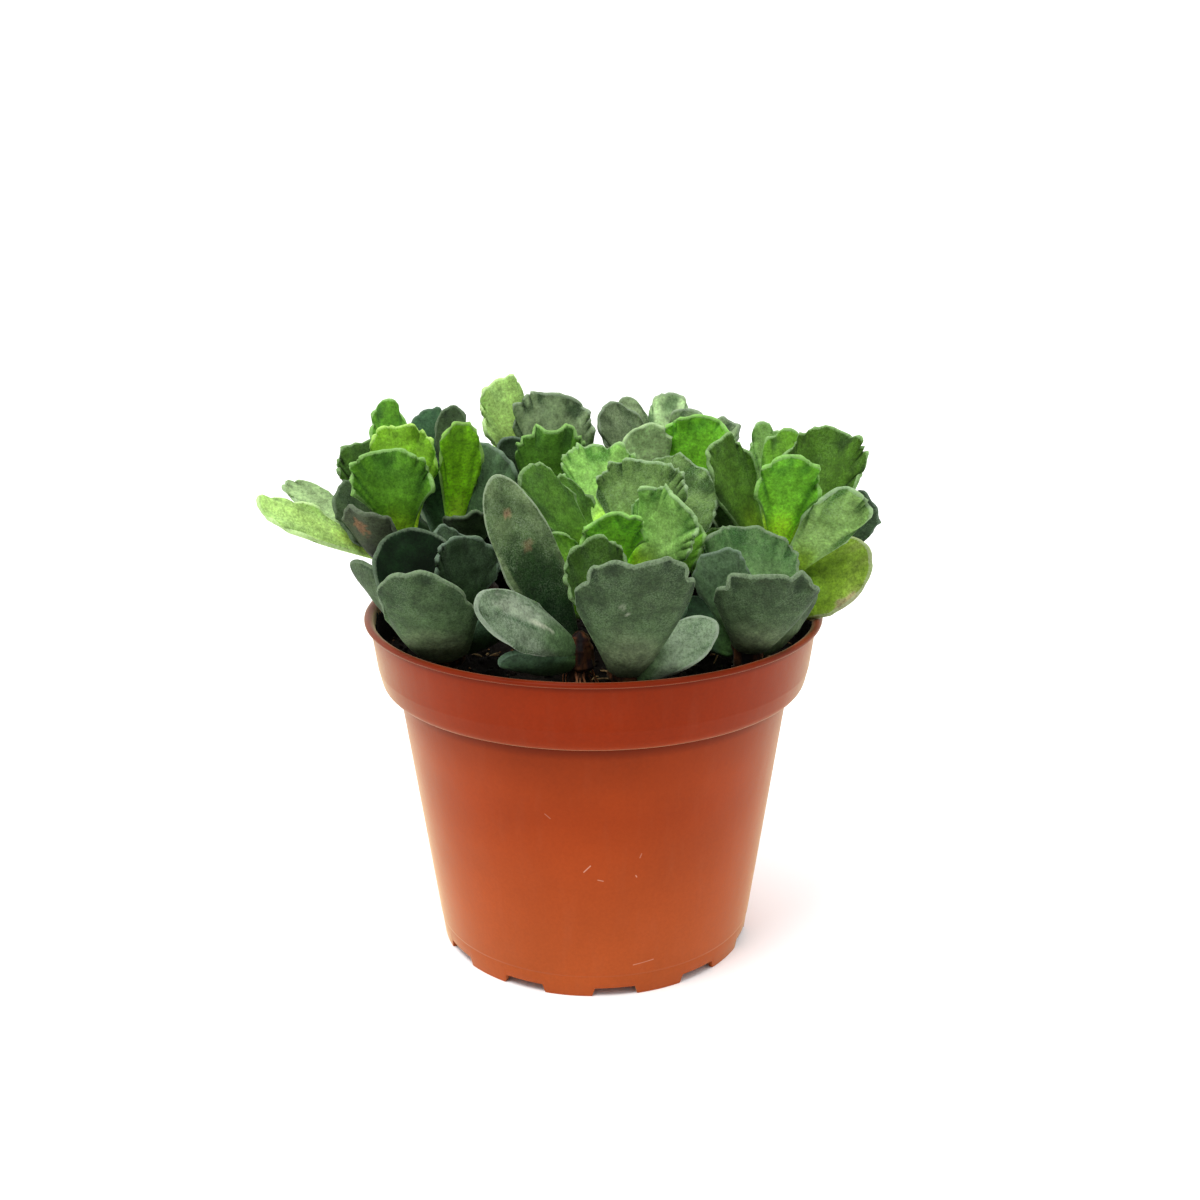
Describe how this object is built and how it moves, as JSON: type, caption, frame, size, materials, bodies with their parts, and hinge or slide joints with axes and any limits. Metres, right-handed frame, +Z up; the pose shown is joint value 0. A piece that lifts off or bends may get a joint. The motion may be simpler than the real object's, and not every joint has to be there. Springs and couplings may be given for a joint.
{
  "type": "potted crinkle-leaf plant",
  "caption": "Small succulent with thick, wavy-edged fan leaves in crowded heads on short woody stems, filling a round flared nursery pot that stands on a notched foot ring",
  "frame": {"origin": "on the floor, under the middle of the plant's bounding box; the pot's axis stands 4 mm to the right of it and 2 mm in front", "axes": "Z up, out of the pot; the side seen in the picture faces -Y, and +X is the viewer's right"},
  "size_m": [0.1368, 0.1175, 0.1296],
  "materials": {
    "terracotta_plastic": "satin moulded plastic",
    "potting_mix": "crumbly, damp and dark",
    "stem_bark": "fibrous brown bark",
    "bright_leaf": "velvety yellow-green skin",
    "dusky_leaf": "velvety grey-green skin"
  },
  "bodies": {
    "root": {"pot": "terracotta_plastic", "soil": "potting_mix", "stem_left": "stem_bark", "stem_left_back": "stem_bark", "stem_front_left": "stem_bark", "stem_front": "stem_bark", "stem_front_low": "stem_bark", "stem_front_right": "stem_bark", "stem_middle": "stem_bark", "stem_right": "stem_bark", "stem_back_left": "stem_bark", "stem_back_right": "stem_bark", "stem_rear_left": "stem_bark", "stem_rear": "stem_bark", "stem_rear_right": "stem_bark", "rosette_left": "bright_leaf", "rosette_left_back": "dusky_leaf", "rosette_front_left": "dusky_leaf", "rosette_front": "dusky_leaf", "rosette_front_low": "dusky_leaf", "rosette_front_right": "dusky_leaf", "rosette_middle": "bright_leaf", "rosette_right": "bright_leaf", "rosette_back_left": "dusky_leaf", "rosette_back_right": "dusky_leaf", "rosette_rear_left": "dusky_leaf", "rosette_rear": "bright_leaf", "rosette_rear_right": "dusky_leaf"}
  },
  "joints": []
}
